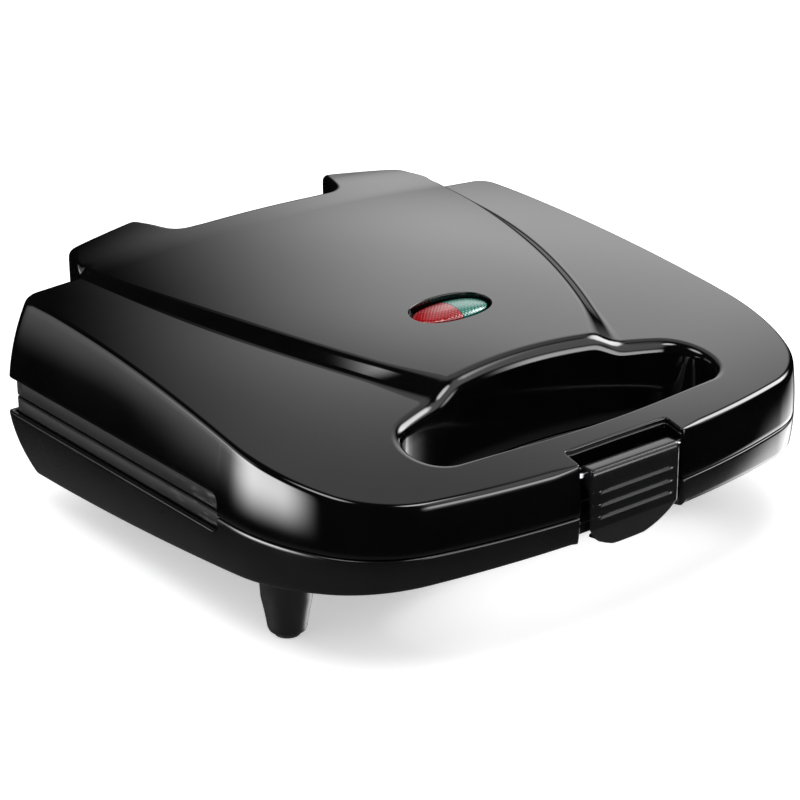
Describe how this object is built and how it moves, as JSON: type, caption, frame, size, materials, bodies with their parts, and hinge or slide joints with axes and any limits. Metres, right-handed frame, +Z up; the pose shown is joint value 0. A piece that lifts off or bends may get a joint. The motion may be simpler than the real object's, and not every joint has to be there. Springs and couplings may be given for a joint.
{
  "type": "sandwich toaster",
  "caption": "Closed sandwich toaster with a hinged lid, carrying loop, swinging front latch, triangular sandwich plates, pilot lamps and peg feet.",
  "frame": {"origin": "under the middle of the object, on the surface it stands on", "axes": "+X to the right, +Y from the latch to the hinge, +Z up"},
  "size_m": [0.241, 0.243, 0.0949],
  "materials": {
    "lid_gloss_black": "high-gloss moulded plastic",
    "base_gloss_black": "gloss moulded plastic",
    "latch_black": "semi-gloss moulded plastic",
    "frame_matte_black": "heat-resistant matte moulding",
    "foot_black": "semi-matte moulded plastic",
    "pad_rubber": "soft rubber",
    "non_stick_coating": "cast aluminium with a dark non-stick coat",
    "heater_steel": "dull annealed steel tube",
    "terminal_ceramic": "ceramic beads with plated blades",
    "sheet_aluminium": "bright sheet",
    "plated_steel": "zinc-plated steel",
    "pin_steel": "ground steel pin",
    "terminal_brass": "plated brass",
    "gland_black": "flexible moulded plastic",
    "fuse_body": "sleeved thermal cut-out",
    "lead_sleeve": "silicone-sleeved wire",
    "lens_red": "clear red moulding with a fine diamond pattern",
    "lens_green": "clear green moulding with a fine diamond pattern",
    "holder_black": "matte moulding",
    "neon_glass": "small neon bulbs"
  },
  "bodies": {
    "base": {"base_housing": "base_gloss_black", "lower_frame": "frame_matte_black", "lower_plate": "non_stick_coating", "lower_heater": "heater_steel", "lower_heater_terminals": "terminal_ceramic", "lower_heater_straps": "plated_steel", "lower_strap_screws": "plated_steel", "lower_reflector": "sheet_aluminium", "lower_frame_screws": "plated_steel", "lower_plate_screw": "plated_steel", "front_left_foot": "foot_black", "front_right_foot": "foot_black", "rear_left_foot": "foot_black", "rear_right_foot": "foot_black", "foot_pads": "pad_rubber", "foot_screws": "plated_steel", "left_hinge_pin": "pin_steel", "right_hinge_pin": "pin_steel", "cord_gland": "gland_black", "terminal_block": "terminal_ceramic", "terminal_screws": "terminal_brass", "thermostat": "plated_steel", "thermal_fuse": "fuse_body", "base_leads": "lead_sleeve"},
    "lid": {"lid_housing": "lid_gloss_black", "upper_frame": "frame_matte_black", "upper_plate": "non_stick_coating", "upper_heater": "heater_steel", "upper_heater_terminals": "terminal_ceramic", "upper_heater_straps": "plated_steel", "upper_strap_screws": "plated_steel", "upper_reflector": "sheet_aluminium", "upper_frame_screws": "plated_steel", "upper_plate_screw": "plated_steel", "red_lens": "lens_red", "green_lens": "lens_green", "lamp_holder": "holder_black", "neon_lamps": "neon_glass", "lid_leads": "lead_sleeve", "latch_pin": "pin_steel"},
    "latch": {"latch": "latch_black"}
  },
  "joints": [
    {"name": "lid_hinge", "type": "hinge", "parent": "base", "child": "lid", "pos_m": [0, 0.11, 0.0565], "axis": [-1, 0, 0], "range_deg": [0, 95]},
    {"name": "latch_hinge", "type": "hinge", "parent": "lid", "child": "latch", "pos_m": [0, -0.1172, 0.06], "axis": [-1, 0, 0], "range_deg": [-4, 35]}
  ]
}
